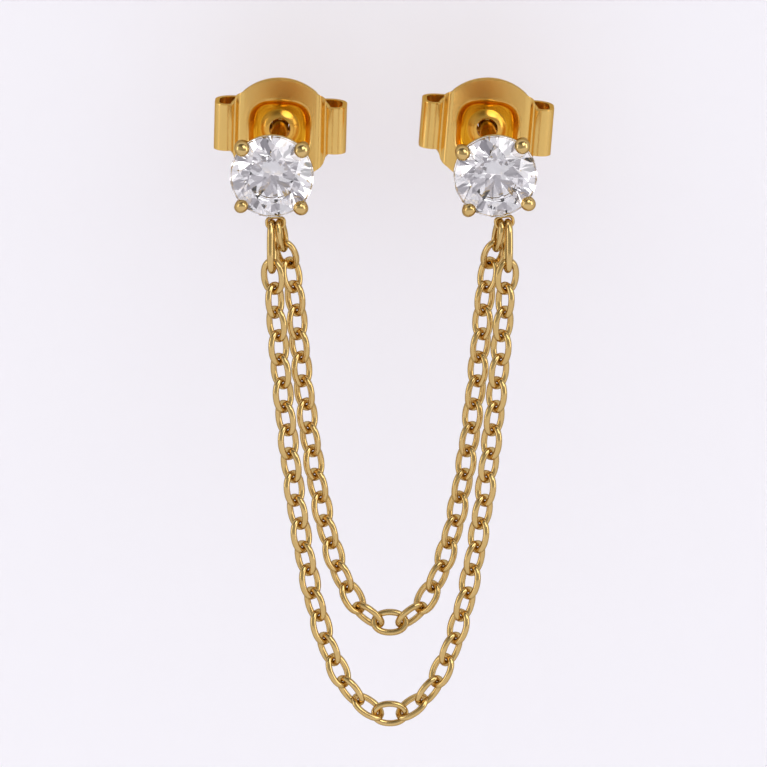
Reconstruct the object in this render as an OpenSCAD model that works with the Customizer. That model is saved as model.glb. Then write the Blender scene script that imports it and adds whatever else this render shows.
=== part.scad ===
// Ear chain earring
//
// Two studs with round clear stones stand in two piercings of one ear. Two
// cable chains hang in curves from one stud to the other, a long one in front
// and a shorter one behind it. Butterfly backs slide on the posts.
//
// Millimetres, +Z up. The stones face -Y and the posts run along +Y. The
// origin lies on the axis of the left post, at the face of its setting that
// rests on the ear lobe.

/* [Piercings and posts] */
// Distance between the two posts at the front of the ear lobe
post_spacing = 10.5; // [10.1:0.1:11.5]
// Angle by which each post leans inward toward its tip
post_splay = 1.9; // [1:0.1:3]
// Turn of the left setting about its post
left_turn = -1; // [-3:0.5:1]
// Turn of the right setting about its post
right_turn = 6; // [4:0.5:8]
// Thickness of a post
post_d = 0.8; // [0.7:0.05:0.9]
// Length of a post behind the setting
post_length = 10.8; // [10:0.1:12]

/* [Stones and settings] */
// Diameter of a stone
stone_d = 4; // [3.8:0.05:4.2]
// Height of the girdle of a stone over the lobe face of its setting
girdle_height = 2.35; // [2.3:0.05:2.45]
// Width of the table of a stone, as a share of its diameter
table_share = 0.57; // [0.53:0.01:0.6]
// Height of the crown, as a share of the diameter
crown_share = 0.155; // [0.14:0.005:0.17]
// Depth of the pavilion, as a share of the diameter
pavilion_share = 0.43; // [0.42:0.005:0.44]
// Wire of a prong
prong_wire = 0.56; // [0.5:0.02:0.6]
// Ball at the tip of a prong
bead_d = 0.66; // [0.62:0.02:0.72]
// Wire of the rail that joins the prongs
rail_wire = 0.34; // [0.3:0.02:0.38]
// Distance from the girdle of a stone down to the rail
rail_drop = 0.3; // [0.28:0.01:0.32]
// Thickness of the base disc that rests on the ear lobe
base_height = 0.32; // [0.3:0.02:0.4]
// Clearance between a stone and its setting
seat_gap = 0.03; // [0.03:0.005:0.04]

/* [Loops and jump rings] */
// Wire of the loop soldered under each setting
loop_wire = 0.15; // [0.12:0.01:0.18]
// Distance from the middle of a stone down to the middle of its loop
loop_drop = 2.36; // [2.34:0.01:2.4]
// Turn by which a loop sits beside the lowest point of its setting
loop_turn = 5; // [4:0.5:6]
// Wire of a jump ring
ring_wire = 0.3; // [0.28:0.01:0.31]
// Outside length of a jump ring
ring_length = 2.63; // [2.6:0.01:2.7]
// Outside width of a jump ring
ring_width = 1.25; // [1.2:0.01:1.3]
// Angle by which a jump ring leans forward
ring_lean = 10; // [9:0.5:11]
// Angle by which a jump ring is turned outward about the vertical
ring_turn = 10; // [8:0.5:12]
// Gap between the parts that hang in a loop
hang_gap = 0.1; // [0.09:0.005:0.12]

/* [Chains] */
// Wire of a chain link
link_wire = 0.26; // [0.24:0.005:0.26]
// Outside width of a chain link
link_width = 1.25; // [1.24:0.01:1.28]
// Length that each link adds to a chain
link_pitch = 1.175; // [1.16:0.005:1.2]
// Free play between a link and the next one
link_play = 0.195; // [0.19:0.005:0.21]
// Turn of the links to either side of the plane of the chain
link_turn = 45; // [44:0.5:46]
// Number of links of the long chain
outer_links = 41; // [39:2:43]
// Number of links of the short chain
inner_links = 37; // [35:2:39]
// Distance by which the short chain hangs further back than its loops
inner_back = 0.93; // [0.9:0.01:1]

/* [Butterfly backs] */
// Diameter of the front disc of a back
disc_d = 5.24; // [5.16:0.02:5.3]
// Thickness of the sheet
sheet = 0.22; // [0.2:0.01:0.24]
// Width of a back over its two rolls
back_width = 6.4; // [6.35:0.05:6.6]
// Height of the rolled arms
arm_height = 2.3; // [2.2:0.05:2.4]
// Depth of a back from the disc to the rear of its rolls
back_depth = 2.2; // [2.15:0.05:2.4]
// Radius of the soft bends beside the flat part of the disc
bend_r = 0.3; // [0.28:0.01:0.32]
// Width of the rounded square dish in the disc
dish_width = 3.06; // [2.96:0.02:3.1]
// Distance across the rounded corners of the dish
dish_corner_d = 3.58; // [3.5:0.02:3.64]
// Depth of the dish
dish_depth = 0.5; // [0.46:0.01:0.52]
// Distance by which a back hangs lower than the axis of its post
back_drop = 0.1; // [0.06:0.01:0.12]
// Clockwise turn of the left back about its post
left_back_turn = 1.5; // [0:0.5:3]
// Clockwise turn of the right back about its post
right_back_turn = 4.5; // [3:0.5:6]
// Distance from the lobe face of a setting to the disc of its back
lobe_grip = 6.75; // [6:0.05:7.2]
// Free play between a post and the hole of its back
post_play = 0.05; // [0.04:0.005:0.06]

/* [Hidden] */

// Facet count of a full round, read as a true circle
round_n = 48;
// Overlap that joins two pieces of one solid, as a length and as an angle
weld = 0.02;
weld_a = 2;

// Stone, measured from the lobe face of the setting along the post
stone_r = stone_d / 2;
girdle_h = 0.03 * stone_d;
crown_h = crown_share * stone_d;
pavilion_h = pavilion_share * stone_d;
star_r = stone_r * (table_share + 0.21);
lower_r = 0.22 * stone_r;

// Setting
base_r = 0.55 * stone_r;
rail_r = 0.965 * stone_r;
rail_z = girdle_height - rail_drop;
foot_r = base_r - 0.29 * prong_wire;
foot_z = base_height / 2;
bend_z = rail_z + 0.27 * prong_wire;
claw_r = stone_r + 0.2 * prong_wire;
bead_z = girdle_height + girdle_h / 2 + 0.43 * prong_wire;
tip_r = claw_r - 0.41 * bead_d;
tip_z = bead_z + 0.15 * bead_d;
tip_d = 0.8 * bead_d;
prongs = 4;
first_prong = 45;
tip_cone = 0.3 * post_d;

// Loops
hole_d = ring_wire + link_wire + 3 * hang_gap;
ring_offset = hole_d / 2 - hang_gap - ring_wire / 2;
link_offset = hole_d / 2 - hang_gap - link_wire / 2;
ring_play = 2 * hang_gap;

// Chains
link_length = link_pitch + 2 * link_wire + link_play;
half_play = (link_wire + link_play) / 2;
plumb_links = 3;
plumb_angle = 78;
lead_links = 2;
outer_twist = -15;
inner_twist = -30;
twist_links = 2;
steepest_bow = 4;
halvings = 32;

// Backs, seen from above, measured from the middle of the disc
grip_r = post_d / 2 + post_play;
hole_r = grip_r + back_drop;
bend_a = 55;
bend_y = 2 * bend_r * (1 - cos(bend_a));
roll_r = (back_depth - sheet - bend_y) / 2;
roll_x = (back_width - sheet) / 2 - roll_r;
bend_x = roll_x - 2 * bend_r * sin(bend_a);
roll_y = sheet / 2 + bend_y + roll_r;
lip_a = asin((disc_d / 2 - roll_x) / roll_r);
curl_r = 0.25 * back_depth;
curl_x = grip_r + sheet / 2 + curl_r;
curl_y = roll_y + roll_r - curl_r;
curl_a = 135;
collar_r = hole_r + 1.8 * sheet;
collar_y = 0.45 * dish_depth;

function sum(v, i = 0) = i < len(v) ? v[i] + sum(v, i + 1) : 0;
function unit(v) = v / norm(v);
function turn_z(v, a) = [v.x * cos(a) - v.y * sin(a), v.x * sin(a) + v.y * cos(a), v.z];
function turn_y(v, a) = [v.x * cos(a) + v.z * sin(a), v.y, v.z * cos(a) - v.x * sin(a)];
function turn_of(side) = side < 0 ? left_turn : right_turn;
function back_turn_of(side) = side < 0 ? left_back_turn : right_back_turn;
function post_x(side) = side < 0 ? 0 : post_spacing;

// Middle of the hole of a loop, and where the two hanging parts pass it
function loop_point(side) =
    [post_x(side), 0, 0]
    + turn_z(turn_y([0, -rail_z, -loop_drop], -turn_of(side) - loop_turn), side * post_splay);
function ring_top(side) = loop_point(side) + [side * ring_offset, 0, 0];
function ring_axis() = [0, -sin(ring_lean), -cos(ring_lean)];
function ring_bottom(side) = ring_top(side) + (ring_length - ring_wire) * ring_axis();
function outer_end(side) =
    ring_bottom(side) + [0, 0, (ring_wire + link_wire) / 2 + ring_play - half_play];
function inner_end(side) = loop_point(side) - [side * link_offset, 0, half_play];

// Curve of a hanging chain: every link drops by the slope that its place
// before or after the lowest link gives it. back is the distance the chain
// swings back over its lead links, plumb the number of nearly upright links.
function lean_of(j, n, back) =
    (j < lead_links ? 1 : j > n - 1 - lead_links ? -1 : 0) * asin(back / lead_links / link_pitch);
function drop_of(j, n, bow, plumb) =
    let (i = j - (n - 1) / 2)
    abs(i) > (n - 1) / 2 - plumb ? sign(i) * plumb_angle : atan(i * bow);
function heading(j, n, back, bow, plumb) =
    let (a = lean_of(j, n, back), b = drop_of(j, n, bow, plumb))
    [cos(a) * cos(b), sin(a), cos(a) * sin(b)];
function width_of(n, back, bow, plumb) =
    link_pitch * sum([for (j = [0:n - 1]) heading(j, n, back, bow, plumb).x]);
function find_bow(n, back, plumb, span, low = 0, high = steepest_bow, steps = halvings) =
    let (bow = (low + high) / 2)
    steps == 0 ? bow
    : width_of(n, back, bow, plumb) > span
        ? find_bow(n, back, plumb, span, bow, high, steps - 1)
        : find_bow(n, back, plumb, span, low, bow, steps - 1);
function twist_of(j, n, twist) = twist * max(0, 1 - min(j, n - 1 - j) / twist_links);

// A long ring: two half rounds and two straight wires, long axis along X
module long_ring(length, width, wire) {
    r = (width - wire) / 2;
    s = (length - width) / 2;
    for (e = [0, 1]) rotate([0, 0, 180 * e]) {
        translate([s, 0, 0]) rotate([0, 0, -90]) rotate_extrude(angle = 180)
            translate([r, 0]) circle(d = wire, $fn = round_n);
        translate([-s, r, 0]) rotate([0, 90, 0]) cylinder(d = wire, h = 2 * s, $fn = round_n);
    }
}

// Places a long ring: long axis along the heading, turned about it
module place_ring(middle, along, across) {
    a = unit(along);
    b = unit(across - (across * a) * a);
    c = cross(a, b);
    multmatrix([[a.x, b.x, c.x, middle.x],
                [a.y, b.y, c.y, middle.y],
                [a.z, b.z, c.z, middle.z],
                [0, 0, 0, 1]])
        children();
}

module chain(n, ends, back, plumb, first_turn, twist) {
    span = ends[1].x - ends[0].x;
    bow = find_bow(n, back, plumb, span);
    steps = [for (j = [0:n - 1]) link_pitch * heading(j, n, back, bow, plumb)];
    level = [0, (ends[1].y - ends[0].y) / 2, (ends[1].z - ends[0].z) / 2];
    marks = [for (j = 0, p = ends[0] + level; j < n; p = p + steps[j], j = j + 1) p];
    for (j = [0:n - 1]) {
        along = unit(steps[j]);
        face = unit([0, -1, 0] + along.y * along);
        flat = cross(face, along);
        turn = (j % 2 == 0 ? first_turn : -first_turn) + twist_of(j, n, twist);
        place_ring(marks[j] + steps[j] / 2, along, cos(turn) * flat + sin(turn) * face)
            long_ring(link_length, link_width, link_wire);
    }
}

module jump_ring(side) {
    along = ring_axis();
    place_ring(ring_top(side) + (ring_length - ring_wire) / 2 * along, along,
               [side * sin(ring_turn), -cos(ring_turn), 0])
        long_ring(ring_length, ring_width, ring_wire);
}

// Moves a setting from its own frame, with the stone facing up, to its place
module on_post(side) {
    translate([post_x(side), 0, 0]) rotate([0, 0, side * post_splay])
        rotate([0, -turn_of(side), 0]) rotate([90, 0, 0]) children();
}

// Round brilliant cut: table, 8 star facets, 8 kites, 16 upper girdle facets,
// 16 lower girdle facets and 8 pavilion mains
module brilliant() {
    table_r = table_share * stone_r;
    slope = crown_h / (stone_r - table_r);
    star_z = girdle_h / 2 + (stone_r - star_r * cos(22.5)) * slope;
    lower_z = -girdle_h / 2 - (stone_r - lower_r * cos(22.5)) * pavilion_h / stone_r;
    table = [for (k = [0:7]) [table_r * cos(45 * k), table_r * sin(45 * k), girdle_h / 2 + crown_h]];
    star = [for (k = [0:7]) [star_r * cos(45 * k + 22.5), star_r * sin(45 * k + 22.5), star_z]];
    top = [for (k = [0:15]) [stone_r * cos(22.5 * k), stone_r * sin(22.5 * k), girdle_h / 2]];
    low = [for (p = top) [p.x, p.y, -girdle_h / 2]];
    under = [for (k = [0:7]) [lower_r * cos(45 * k + 22.5), lower_r * sin(45 * k + 22.5), lower_z]];
    culet = [[0, 0, -girdle_h / 2 - pavilion_h]];
    // first index of each ring of points
    s = 8;
    t = 16;
    g = 32;
    u = 48;
    c = 56;
    faces = concat(
        [[for (k = [7:-1:0]) k]],
        [for (k = [0:7]) [k, (k + 1) % 8, s + k]],
        [for (k = [0:7]) [k, s + k, t + 2 * k]],
        [for (k = [0:7]) [k, t + 2 * k, s + (k + 7) % 8]],
        [for (k = [0:7]) [s + k, t + 2 * k + 1, t + 2 * k]],
        [for (k = [0:7]) [s + k, t + (2 * k + 2) % 16, t + 2 * k + 1]],
        [for (k = [0:15]) [t + k, t + (k + 1) % 16, g + (k + 1) % 16]],
        [for (k = [0:15]) [t + k, g + (k + 1) % 16, g + k]],
        [for (k = [0:7]) [u + k, g + 2 * k, g + 2 * k + 1]],
        [for (k = [0:7]) [u + k, g + 2 * k + 1, g + (2 * k + 2) % 16]],
        [for (k = [0:7]) [c, g + 2 * k, u + k]],
        [for (k = [0:7]) [c, u + (k + 7) % 8, g + 2 * k]]);
    polyhedron(concat(table, star, top, low, under, culet), faces);
}

module stone(side) {
    on_post(side) translate([0, 0, girdle_height]) brilliant();
}

// Straight wire from one point to another in the plane of a prong
module prong_wire_between(a, b, d) {
    translate([a.x, 0, a.y]) rotate([0, atan2(b.x - a.x, b.y - a.y), 0])
        cylinder(d = d, h = norm(b - a), $fn = round_n);
}

module prong() {
    foot = [foot_r, foot_z];
    bend = [claw_r, bend_z];
    bead = [claw_r, bead_z];
    tip = [tip_r, tip_z];
    prong_wire_between(foot, bend, prong_wire);
    translate([bend.x, 0, bend.y]) sphere(d = 1.04 * prong_wire, $fn = round_n);
    prong_wire_between(bend, bead, prong_wire);
    translate([bead.x, 0, bead.y]) sphere(d = bead_d, $fn = round_n);
    translate([tip.x, 0, tip.y]) sphere(d = tip_d, $fn = round_n);
}

// Room of the stone in its setting, with a little clearance all round
module seat() {
    translate([0, 0, girdle_height]) rotate_extrude($fn = round_n) polygon([
        [0, -pavilion_h - girdle_h / 2 - seat_gap],
        [stone_r + seat_gap, -girdle_h / 2 - seat_gap],
        [stone_r + seat_gap, girdle_h / 2 + seat_gap],
        [table_share * stone_r, girdle_h / 2 + crown_h + seat_gap],
        [0, girdle_h / 2 + crown_h + seat_gap]]);
}

module setting() {
    difference() {
        union() {
            cylinder(r = base_r, h = base_height, $fn = round_n);
            translate([0, 0, rail_z]) rotate_extrude($fn = round_n)
                translate([rail_r, 0]) circle(d = rail_wire, $fn = round_n);
            for (k = [0:prongs - 1]) rotate([0, 0, first_prong + 360 / prongs * k]) prong();
        }
        seat();
        translate([0, 0, -prong_wire]) cylinder(r = stone_r, h = prong_wire, $fn = round_n);
    }
}

module loop() {
    rotate([0, 0, loop_turn]) translate([0, -loop_drop, rail_z]) rotate_extrude($fn = round_n)
        translate([(hole_d + loop_wire) / 2, 0]) circle(d = loop_wire, $fn = round_n);
}

module post() {
    shaft = post_length - tip_cone;
    translate([0, 0, -shaft]) cylinder(d = post_d, h = shaft + base_height / 2, $fn = round_n);
    translate([0, 0, -post_length]) cylinder(d1 = 0.4 * post_d, d2 = post_d, h = tip_cone, $fn = round_n);
}

module stud(side) {
    on_post(side) {
        setting();
        loop();
        post();
    }
}

// Rolled sheet standing upright: starts at an angle and turns counterclockwise
module sheet_arc(x, y, r, start, angle, height) {
    translate([x, y, 0]) rotate([0, 0, start - weld_a])
        rotate_extrude(angle = angle + 2 * weld_a, $fn = round_n)
        translate([r - sheet / 2, -height / 2]) square([sheet, height]);
}

// Half of the front disc: flat in the middle, then two soft bends and the
// first part of the roll, all cut to the round outline
module disc_half() {
    intersection() {
        union() {
            translate([-weld, 0, -disc_d / 2]) cube([bend_x + weld, sheet, disc_d]);
            sheet_arc(bend_x, sheet / 2 + bend_r, bend_r, -90, bend_a, disc_d);
            sheet_arc(roll_x, sheet / 2 + bend_y - bend_r, bend_r, 90, bend_a, disc_d);
            sheet_arc(roll_x, roll_y, roll_r, -90, lip_a, disc_d);
        }
        along_post() cylinder(d = disc_d, h = back_depth, $fn = round_n);
    }
}

// The arm rolls outward and back, runs inward and curls against the post
module arm() {
    sheet_arc(roll_x, roll_y, roll_r, -90, 180, arm_height);
    translate([curl_x, roll_y + roll_r - sheet / 2, -arm_height / 2])
        cube([roll_x - curl_x, sheet, arm_height]);
    sheet_arc(curl_x, curl_y, curl_r, 90, curl_a, arm_height);
}

// Turns a round part from upright to the direction of the post
module along_post() {
    rotate([-90, 0, 0]) children();
}

// Rounded square block behind the disc, wider than the dish by grow all round
module dish_block(from, to, grow) {
    width = dish_width + 2 * grow;
    intersection() {
        translate([-width / 2, from, -width / 2]) cube([width, to - from, width]);
        translate([0, from, 0]) along_post()
            cylinder(d = dish_corner_d + 2 * grow, h = to - from, $fn = round_n);
    }
}

// Front disc with its pressed dish and the hole for the post
module plate() {
    difference() {
        union() {
            for (m = [0, 1]) mirror([m, 0, 0]) disc_half();
            dish_block(sheet / 2, dish_depth + sheet, 0.9 * sheet);
        }
        dish_block(-sheet, dish_depth, 0);
        along_post() cylinder(r = hole_r, h = back_depth, $fn = round_n);
    }
}

// Raised collar round the hole in the dish
module collar() {
    along_post() rotate_extrude($fn = round_n) polygon([
        [hole_r, collar_y],
        [hole_r + 0.5 * sheet, collar_y],
        [collar_r, dish_depth + weld],
        [hole_r, dish_depth + weld]]);
}

module back(side) {
    translate([post_x(side), 0, 0]) rotate([0, 0, side * post_splay])
        translate([0, lobe_grip, 0]) rotate([0, back_turn_of(side), 0]) translate([0, 0, -back_drop]) {
            plate();
            collar();
            for (m = [0, 1]) mirror([m, 0, 0]) arm();
        }
}

module stud_left() color("goldenrod") stud(-1);
module stud_right() color("goldenrod") stud(1);
module stone_left() color("lightcyan") stone(-1);
module stone_right() color("lightcyan") stone(1);
module ring_left() color("goldenrod") jump_ring(-1);
module ring_right() color("goldenrod") jump_ring(1);
module back_left() color("goldenrod") back(-1);
module back_right() color("goldenrod") back(1);
module chain_outer() color("goldenrod")
    chain(outer_links, [outer_end(-1), outer_end(1)], 0, 0, link_turn, outer_twist);
module chain_inner() color("goldenrod")
    chain(inner_links, [inner_end(-1), inner_end(1)], inner_back, plumb_links,
          -link_turn, inner_twist);

stud_left();
stone_left();
ring_left();
back_left();
stud_right();
stone_right();
ring_right();
back_right();
chain_outer();
chain_inner();
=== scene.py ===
"""Ear chain earring dressed for the camera: two studs with round clear stones,
a long and a short cable chain between them, and a butterfly back on each post.

Lengths are in millimetres inside the builders and become metres when a mesh is
written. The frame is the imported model's: +Z up, stones facing -Y, origin on the
left post where its setting rests on the ear lobe.
"""

import logging
import math
from dataclasses import dataclass, field
from enum import Enum

import bmesh
import bpy
import numpy as np
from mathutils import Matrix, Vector


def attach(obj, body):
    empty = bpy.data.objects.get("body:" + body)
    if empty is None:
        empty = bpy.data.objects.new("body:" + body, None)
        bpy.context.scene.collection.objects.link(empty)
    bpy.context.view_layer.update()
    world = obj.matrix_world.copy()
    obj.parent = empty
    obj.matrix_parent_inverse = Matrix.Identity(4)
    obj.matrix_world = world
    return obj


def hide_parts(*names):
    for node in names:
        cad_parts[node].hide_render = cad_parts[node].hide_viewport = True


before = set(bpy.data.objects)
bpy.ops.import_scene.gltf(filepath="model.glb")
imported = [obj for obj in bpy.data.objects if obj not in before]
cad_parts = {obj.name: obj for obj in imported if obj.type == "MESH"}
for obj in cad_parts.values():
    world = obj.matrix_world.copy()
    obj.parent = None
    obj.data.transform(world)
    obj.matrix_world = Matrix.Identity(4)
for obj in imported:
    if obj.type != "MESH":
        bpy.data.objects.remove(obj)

# One millimetre in metres
MM = 0.001
# Distance in metres within which points become one
MERGE = 2e-7
# Attribute that weights the painted shade in the pressed dish, 0 on the rim up to 1 on the floor
RECESS_SHADE_ATTRIBUTE = "pressed_depth"
UP = np.array([0.0, 0.0, 1.0])
LOG = logging.getLogger("earring")


class Side(Enum):
    """Which stud of the earring a part belongs to."""

    LEFT = -1
    RIGHT = 1


class Body(Enum):
    """Bodies of the frame that the pieces ride on."""

    EARRING = "earring"
    LEFT_BACK = "left_back"
    RIGHT_BACK = "right_back"


# ---------------------------------------------------------------- vectors


def unit(v: np.ndarray) -> np.ndarray:
    """Vectors of length one along the last axis.

    Args:
        v: vectors, last axis of size 3.

    Returns:
        The same directions with length one.
    """
    return v / np.linalg.norm(v, axis=-1, keepdims=True)


def turn_about_z(angle: float) -> np.ndarray:
    """Matrix of a turn about Z by an angle in degrees."""
    c, s = math.cos(math.radians(angle)), math.sin(math.radians(angle))
    return np.array([[c, -s, 0.0], [s, c, 0.0], [0.0, 0.0, 1.0]])


def turn_about_y(angle: float) -> np.ndarray:
    """Matrix of a turn about Y by an angle in degrees."""
    c, s = math.cos(math.radians(angle)), math.sin(math.radians(angle))
    return np.array([[c, 0.0, s], [0.0, 1.0, 0.0], [-s, 0.0, c]])


def smooth_path(points: np.ndarray, per_span: int) -> np.ndarray:
    """Curve through points, with the tangent at each point parallel to the
    line between its neighbours (cubic Hermite spans, end tangents one-sided).

    Args:
        points: control points, shape (n, d).
        per_span: samples in each span.

    Returns:
        Samples, shape ((n - 1) * per_span + 1, d).
    """
    slope = np.gradient(points, axis=0)
    t = np.linspace(0.0, 1.0, per_span, endpoint=False)[None, :, None]
    a, b = points[:-1, None], points[1:, None]
    ma, mb = slope[:-1, None], slope[1:, None]
    h = (2 * t**3 - 3 * t**2 + 1) * a + (t**3 - 2 * t**2 + t) * ma
    h = h + (3 * t**2 - 2 * t**3) * b + (t**3 - t**2) * mb
    return np.vstack([h.reshape(-1, points.shape[1]), points[-1:]])


def arc_points(
    centre: tuple[float, float], radius: float, start: float, sweep: float, count: int
) -> np.ndarray:
    """Points of a circular arc in a plane, from a start angle over a sweep.

    Args:
        centre: middle of the circle.
        radius: its radius.
        start: first angle in degrees.
        sweep: angle run through, in degrees, counterclockwise when positive.
        count: number of points.

    Returns:
        Points, shape (count, 2).
    """
    a = np.radians(start + np.linspace(0.0, sweep, count))
    return np.stack([centre[0] + radius * np.cos(a), centre[1] + radius * np.sin(a)], axis=1)


# ---------------------------------------------------------------- meshes


def grid_quads(rows: int, columns: int, close_rows: bool, close_columns: bool) -> np.ndarray:
    """Quads of a grid of points that is stored row by row.

    Args:
        rows: number of rows.
        columns: number of columns.
        close_rows: joins the last row to the first.
        close_columns: joins the last column to the first.

    Returns:
        Vertex numbers, shape (n, 4).
    """
    i = np.arange(rows if close_rows else rows - 1)[:, None]
    j = np.arange(columns if close_columns else columns - 1)[None, :]
    i2, j2 = (i + 1) % rows, (j + 1) % columns
    corners = [i * columns + j, i * columns + j2, i2 * columns + j2, i2 * columns + j]
    shape = np.broadcast_shapes(i.shape, j.shape)
    return np.stack([np.broadcast_to(c, shape) for c in corners], -1).reshape(-1, 4)


def tube_grid(
    path: np.ndarray, radius: np.ndarray, across: np.ndarray, sides: int, closed: bool
) -> np.ndarray:
    """Round wire along a path: around each point a circle of the wire's radius
    lies in the plane square to the path, p + r (cos a * u + sin a * v), where u
    is the given across direction made square to the path and v = tangent x u.

    Args:
        path: middle line, shape (n, 3).
        radius: wire radius at each point, shape (n,).
        across: a direction that is nowhere parallel to the path.
        sides: points round the wire.
        closed: the path runs back to its start.

    Returns:
        Grid of points, shape (n, sides, 3).
    """
    if closed:
        tangent = unit(np.roll(path, -1, axis=0) - np.roll(path, 1, axis=0))
    else:
        tangent = unit(np.gradient(path, axis=0))
    u = unit(across - tangent * (tangent @ across)[:, None])
    v = np.cross(tangent, u)
    a = np.linspace(0.0, 2 * np.pi, sides, endpoint=False)
    ring = np.cos(a)[None, :, None] * u[:, None] + np.sin(a)[None, :, None] * v[:, None]
    return path[:, None] + radius[:, None, None] * ring


def rounded_end(path: np.ndarray, radius: np.ndarray, ball: float) -> np.ndarray:
    """Wire radius that closes to nothing over the last stretch, as on a ball:
    at a distance s from the end it is r * sqrt(1 - (1 - s/b)^2), b the ball's
    radius.

    Args:
        path: middle line, shape (n, 3).
        radius: full radius at each point.
        ball: radius of the ball.

    Returns:
        Radius at each point.
    """
    step = np.linalg.norm(np.diff(path, axis=0), axis=1)
    along = np.concatenate([[0.0], np.cumsum(step)])
    part = np.clip((along[-1] - along) / ball, 0, 1)
    return radius * np.sqrt(np.clip(1 - (1 - part) ** 2, 0, 1))


@dataclass
class Shell:
    """Surfaces gathered for one mesh."""

    points: list[np.ndarray] = field(default_factory=list)
    faces: list[np.ndarray] = field(default_factory=list)
    count: int = 0

    def add(self, points: np.ndarray, faces: np.ndarray) -> None:
        """Adds points and the faces between them.

        Args:
            points: shape (n, 3), millimetres.
            faces: vertex numbers within these points, one row a face.
        """
        self.points.append(points.reshape(-1, 3))
        self.faces.append(faces + self.count)
        self.count += self.points[-1].shape[0]

    def add_grid(self, grid: np.ndarray, close_rows: bool, close_columns: bool) -> None:
        """Adds a grid of points as quads."""
        self.add(grid, grid_quads(grid.shape[0], grid.shape[1], close_rows, close_columns))

    def place(self, turn: np.ndarray, shift: np.ndarray) -> None:
        """Turns and then shifts all points gathered so far."""
        self.points = [p @ turn.T + shift for p in self.points]

    def make(
        self, name: str, smooth: bool = True, values: np.ndarray | None = None
    ) -> bpy.types.Object:
        """Writes the mesh in metres, merges coinciding points and turns the
        faces outward.

        Args:
            name: name of the new object.
            smooth: smooth shading.
            values: weight of the painted shade in the dish at the first points, 0 for the rest.

        Returns:
            The new object at the origin.
        """
        mesh = bpy.data.meshes.new(name)
        rows = [row for block in self.faces for row in block.tolist()]
        mesh.from_pydata((np.vstack(self.points) * MM).tolist(), [], rows)
        if values is not None:
            depth = np.zeros(self.count)
            depth[: values.size] = values
            mesh.attributes.new(RECESS_SHADE_ATTRIBUTE, "FLOAT", "POINT").data.foreach_set("value", depth)
        work = bmesh.new()
        work.from_mesh(mesh)
        bmesh.ops.remove_doubles(work, verts=work.verts, dist=MERGE)
        bmesh.ops.recalc_face_normals(work, faces=work.faces)
        work.to_mesh(mesh)
        work.free()
        mesh.polygons.foreach_set("use_smooth", np.full(len(mesh.polygons), smooth))
        mesh.update()
        piece = bpy.data.objects.new(name, mesh)
        bpy.context.scene.collection.objects.link(piece)
        return piece


# ---------------------------------------------------------------- finishes


@dataclass
class Wiring:
    """Nodes of a material, group or world, and the links between them."""

    tree: bpy.types.NodeTree

    def add(
        self, kind: str, inputs: dict[str | int, object] | None = None, **settings: object
    ) -> bpy.types.Node:
        """Adds a node.

        Args:
            kind: its type.
            inputs: values of its inputs.
            settings: its own properties, on which its inputs depend.

        Returns:
            The node.
        """
        node = self.tree.nodes.new(kind)
        for name, value in settings.items():
            setattr(node, name, value)
        for name, value in (inputs or {}).items():
            node.inputs[name].default_value = value
        return node

    def link(self, *lines: tuple[bpy.types.Node, str, bpy.types.Node, str | int]) -> None:
        """Links nodes, each line as (node, output, node, input)."""
        for source, output, target, into in lines:
            self.tree.links.new(source.outputs[output], target.inputs[into])


def span_of(low: float, high: float, first: float, last: float) -> dict[str, float]:
    """Inputs of a Map Range node that takes low..high to first..last."""
    return {"From Min": low, "From Max": high, "To Min": first, "To Max": last}


def new_material(name: str) -> tuple[bpy.types.Material, Wiring, bpy.types.Node]:
    """Adds a material with nodes.

    Args:
        name: its name.

    Returns:
        The material, its nodes and its main shader.
    """
    material = bpy.data.materials.new(name)
    material.use_nodes = True
    return material, Wiring(material.node_tree), material.node_tree.nodes["Principled BSDF"]


POLISH_SOCKETS = (
    ("INPUT", "NodeSocketVector", ("Vector",)),
    ("INPUT", "NodeSocketFloat", ("Cloud Scale", "Grain Scale", "Rough Low", "Rough High")),
    ("INPUT", "NodeSocketColor", ("Tone A", "Tone B")),
    ("OUTPUT", "NodeSocketColor", ("Color",)),
    ("OUTPUT", "NodeSocketFloat", ("Roughness", "Height")),
)
# Height of the grain in the relief, as a share of the cloud's
GRAIN_SHARE = 0.4


def polish_group() -> bpy.types.NodeTree:
    """Polish marks of plated metal: a slow cloud shifts the colour between two
    tones, a fine grain varies the roughness, and both give a low relief.

    Returns:
        The node group, with the outputs Color, Roughness and Height.
    """
    name = "polish marks"
    if name in bpy.data.node_groups:
        return bpy.data.node_groups[name]
    tree = bpy.data.node_groups.new(name, "ShaderNodeTree")
    for way, kind, sockets in POLISH_SOCKETS:
        for socket in sockets:
            tree.interface.new_socket(name=socket, in_out=way, socket_type=kind)
    wiring = Wiring(tree)
    source, target = wiring.add("NodeGroupInput"), wiring.add("NodeGroupOutput")
    cloud = wiring.add("ShaderNodeTexNoise", {"Detail": 2.0})
    grain = wiring.add("ShaderNodeTexNoise", {"Detail": 3.0})
    mix = wiring.add("ShaderNodeMix", data_type="RGBA")
    span = wiring.add("ShaderNodeMapRange", {"From Min": 0.3, "From Max": 0.7})
    relief = wiring.add("ShaderNodeMath", {1: GRAIN_SHARE}, operation="MULTIPLY_ADD")
    wiring.link(
        (source, "Vector", cloud, "Vector"),
        (source, "Cloud Scale", cloud, "Scale"),
        (source, "Vector", grain, "Vector"),
        (source, "Grain Scale", grain, "Scale"),
        (cloud, "Fac", mix, "Factor"),
        (source, "Tone A", mix, "A"),
        (source, "Tone B", mix, "B"),
        (grain, "Fac", span, "Value"),
        (source, "Rough Low", span, "To Min"),
        (source, "Rough High", span, "To Max"),
        (grain, "Fac", relief, 0),
        (cloud, "Fac", relief, 2),
        (mix, "Result", target, "Color"),
        (span, "Result", target, "Roughness"),
        (relief, "Value", target, "Height"),
    )
    return tree


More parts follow.
